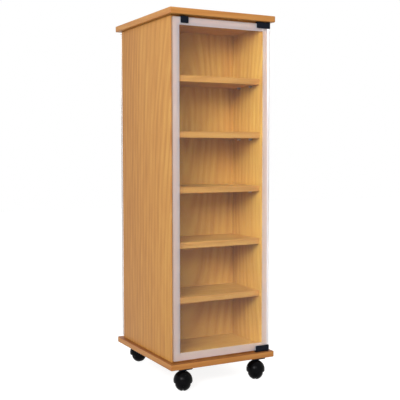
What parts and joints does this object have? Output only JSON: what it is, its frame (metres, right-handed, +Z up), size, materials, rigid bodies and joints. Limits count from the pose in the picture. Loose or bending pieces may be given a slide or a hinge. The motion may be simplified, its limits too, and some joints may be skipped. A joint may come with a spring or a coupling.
{
  "type": "media tower",
  "caption": "Tall beech-effect media tower on swivel castors, with shelves behind a frosted-edge glass door on its front and another on its rear",
  "frame": {"origin": "on the floor, under the middle of the top board", "axes": "+X to the right seen from the front, -Y out of the front door, +Z up"},
  "size_m": [0.31, 0.3928, 0.9695],
  "materials": {
    "beech": "satin beech-effect foil over board",
    "partition": "matt beech-effect thin board",
    "glass": "clear toughened glass with an acid-etched border",
    "black_metal": "glossy black",
    "black_nylon": "moulded black nylon",
    "steel": "zinc-plated steel"
  },
  "bodies": {
    "carcass": {"base_board": "beech", "top_board": "beech", "left_side_panel": "beech", "right_side_panel": "beech", "inner_bottom_panel": "beech", "inner_top_panel": "beech", "centre_partition": "partition", "front_shelf_1": "beech", "front_shelf_2": "beech", "front_shelf_3": "beech", "front_shelf_4": "beech", "front_shelf_5": "beech", "rear_shelf_1": "beech", "rear_shelf_2": "beech", "rear_shelf_3": "beech", "rear_shelf_4": "beech", "rear_shelf_5": "beech", "front_door_top_bush": "black_nylon", "front_door_bottom_bush": "black_nylon", "front_latch_barrel": "black_nylon", "front_latch_spring": "steel", "rear_door_top_bush": "black_nylon", "rear_door_bottom_bush": "black_nylon", "rear_latch_barrel": "black_nylon", "rear_latch_spring": "steel", "castor_front_left_plate": "black_metal", "castor_front_right_plate": "black_metal", "castor_rear_left_plate": "black_metal", "castor_rear_right_plate": "black_metal"},
    "front_door": {"front_door_glass": "glass", "front_door_top_hinge_clip": "black_metal", "front_door_top_hinge_pin": "steel", "front_door_bottom_hinge_clip": "black_metal", "front_door_bottom_hinge_pin": "steel", "front_door_strike_clip": "black_metal"},
    "front_latch_plunger": {"front_latch_plunger": "steel"},
    "rear_door": {"rear_door_glass": "glass", "rear_door_top_hinge_clip": "black_metal", "rear_door_top_hinge_pin": "steel", "rear_door_bottom_hinge_clip": "black_metal", "rear_door_bottom_hinge_pin": "steel", "rear_door_strike_clip": "black_metal"},
    "rear_latch_plunger": {"rear_latch_plunger": "steel"},
    "castor_front_left_swivel": {"castor_front_left_hood": "black_nylon", "castor_front_left_axle": "steel"},
    "castor_front_left_left_wheel": {"castor_front_left_left_wheel": "black_nylon"},
    "castor_front_left_right_wheel": {"castor_front_left_right_wheel": "black_nylon"},
    "castor_front_right_swivel": {"castor_front_right_hood": "black_nylon", "castor_front_right_axle": "steel"},
    "castor_front_right_left_wheel": {"castor_front_right_left_wheel": "black_nylon"},
    "castor_front_right_right_wheel": {"castor_front_right_right_wheel": "black_nylon"},
    "castor_rear_left_swivel": {"castor_rear_left_hood": "black_nylon", "castor_rear_left_axle": "steel"},
    "castor_rear_left_left_wheel": {"castor_rear_left_left_wheel": "black_nylon"},
    "castor_rear_left_right_wheel": {"castor_rear_left_right_wheel": "black_nylon"},
    "castor_rear_right_swivel": {"castor_rear_right_hood": "black_nylon", "castor_rear_right_axle": "steel"},
    "castor_rear_right_left_wheel": {"castor_rear_right_left_wheel": "black_nylon"},
    "castor_rear_right_right_wheel": {"castor_rear_right_right_wheel": "black_nylon"}
  },
  "joints": [
    {"name": "front_door_hinge", "type": "hinge", "parent": "carcass", "child": "front_door", "pos_m": [0.139, -0.1665, 0.5125], "axis": [0, 0, 1], "range_deg": [0, 200]},
    {"name": "front_latch_push", "type": "slide", "parent": "carcass", "child": "front_latch_plunger", "axis": [0, -1, 0], "range_m": [-0.002, 0], "stiffness_N_per_m": 200, "springref_m": 0.001, "deforming": ["front_latch_spring"]},
    {"name": "rear_door_hinge", "type": "hinge", "parent": "carcass", "child": "rear_door", "pos_m": [0.139, 0.1665, 0.5125], "axis": [0, 0, -1], "range_deg": [0, 200]},
    {"name": "rear_latch_push", "type": "slide", "parent": "carcass", "child": "rear_latch_plunger", "axis": [0, 1, 0], "range_m": [-0.002, 0], "stiffness_N_per_m": 200, "springref_m": 0.001, "deforming": ["rear_latch_spring"]},
    {"name": "castor_front_left_swivel", "type": "hinge", "parent": "carcass", "child": "castor_front_left_swivel", "pos_m": [-0.1105, -0.158, 0.045], "axis": [0, 0, 1], "continuous": true},
    {"name": "castor_front_left_left_wheel_spin", "type": "hinge", "parent": "castor_front_left_swivel", "child": "castor_front_left_left_wheel", "pos_m": [-0.11895, -0.17389, 0.02026], "axis": [0.8829, -0.4695, 0], "continuous": true},
    {"name": "castor_front_left_right_wheel_spin", "type": "hinge", "parent": "castor_front_left_swivel", "child": "castor_front_left_right_wheel", "pos_m": [-0.11895, -0.17389, 0.02026], "axis": [0.8829, -0.4695, 0], "continuous": true},
    {"name": "castor_front_right_swivel", "type": "hinge", "parent": "carcass", "child": "castor_front_right_swivel", "pos_m": [0.1105, -0.158, 0.045], "axis": [0, 0, 1], "continuous": true},
    {"name": "castor_front_right_left_wheel_spin", "type": "hinge", "parent": "castor_front_right_swivel", "child": "castor_front_right_left_wheel", "pos_m": [0.10018, -0.17274, 0.02026], "axis": [0.8192, -0.5736, 0], "continuous": true},
    {"name": "castor_front_right_right_wheel_spin", "type": "hinge", "parent": "castor_front_right_swivel", "child": "castor_front_right_right_wheel", "pos_m": [0.10018, -0.17274, 0.02026], "axis": [0.8192, -0.5736, 0], "continuous": true},
    {"name": "castor_rear_left_swivel", "type": "hinge", "parent": "carcass", "child": "castor_rear_left_swivel", "pos_m": [-0.1105, 0.158, 0.045], "axis": [0, 0, 1], "continuous": true},
    {"name": "castor_rear_left_left_wheel_spin", "type": "hinge", "parent": "castor_rear_left_swivel", "child": "castor_rear_left_left_wheel", "pos_m": [-0.10405, 0.1412, 0.02026], "axis": [0.9336, 0.3584, 0], "continuous": true},
    {"name": "castor_rear_left_right_wheel_spin", "type": "hinge", "parent": "castor_rear_left_swivel", "child": "castor_rear_left_right_wheel", "pos_m": [-0.10405, 0.1412, 0.02026], "axis": [0.9336, 0.3584, 0], "continuous": true},
    {"name": "castor_rear_right_swivel", "type": "hinge", "parent": "carcass", "child": "castor_rear_right_swivel", "pos_m": [0.1105, 0.158, 0.045], "axis": [0, 0, 1], "continuous": true},
    {"name": "castor_rear_right_left_wheel_spin", "type": "hinge", "parent": "castor_rear_right_swivel", "child": "castor_rear_right_left_wheel", "pos_m": [0.11895, 0.17389, 0.02026], "axis": [-0.8829, 0.4695, 0], "continuous": true},
    {"name": "castor_rear_right_right_wheel_spin", "type": "hinge", "parent": "castor_rear_right_swivel", "child": "castor_rear_right_right_wheel", "pos_m": [0.11895, 0.17389, 0.02026], "axis": [-0.8829, 0.4695, 0], "continuous": true}
  ]
}
